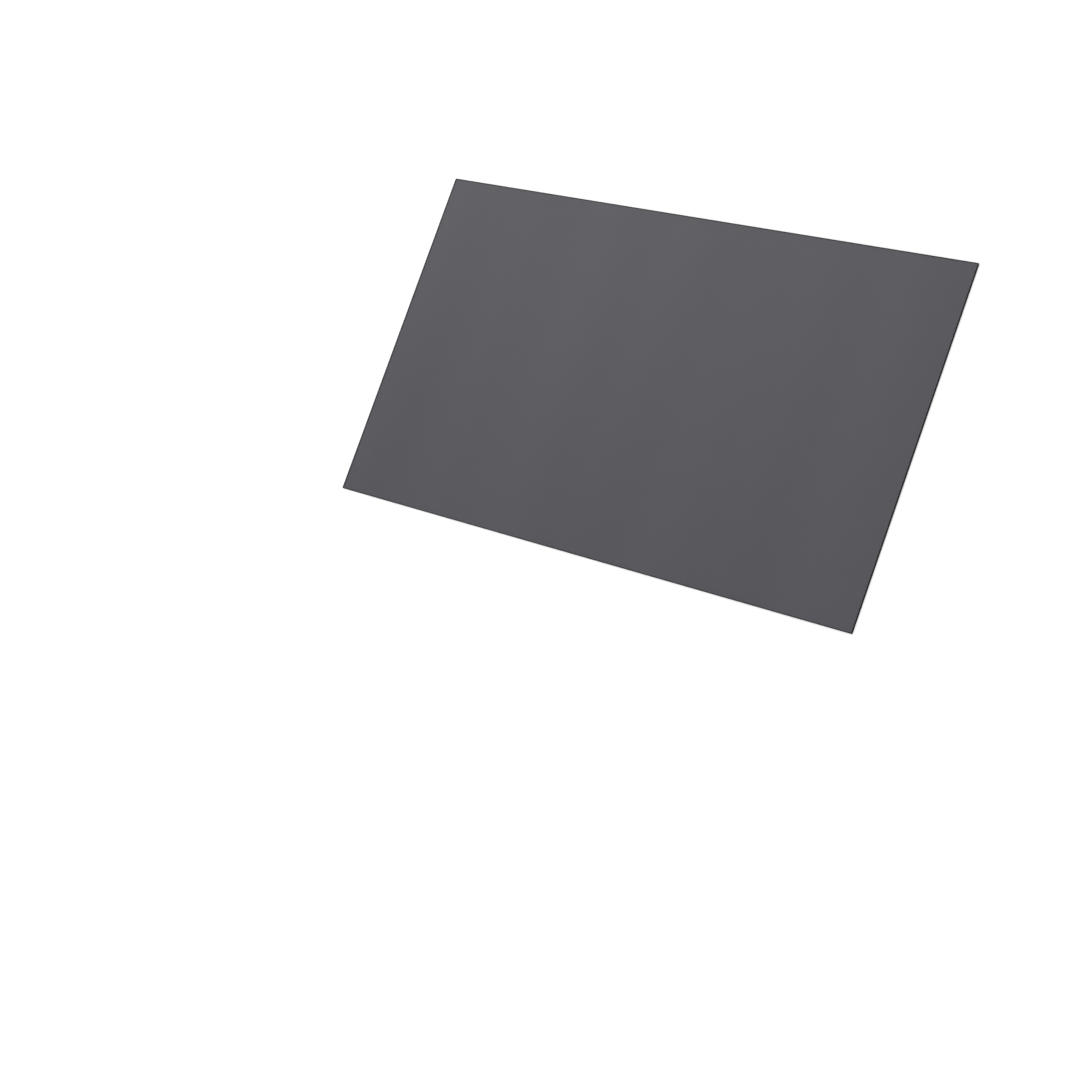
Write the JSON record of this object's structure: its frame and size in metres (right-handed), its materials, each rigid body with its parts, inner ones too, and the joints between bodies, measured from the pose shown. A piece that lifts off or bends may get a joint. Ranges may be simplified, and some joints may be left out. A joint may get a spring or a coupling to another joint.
{
  "type": "laptop privacy filter",
  "caption": "Flat rectangular sheet of dark see-through plastic that covers a wide laptop screen so that it can't be read from the side.",
  "frame": {"origin": "on the back face, under the middle of the sheet", "axes": "+X along the long edge, +Y towards the top edge, +Z out of the front face, so the sheet lies flat on its back face"},
  "size_m": [0.344, 0.1934, 0.0005],
  "materials": {
    "dark_film": "satin"
  },
  "bodies": {
    "root": {"filter_sheet": "dark_film"}
  },
  "joints": []
}
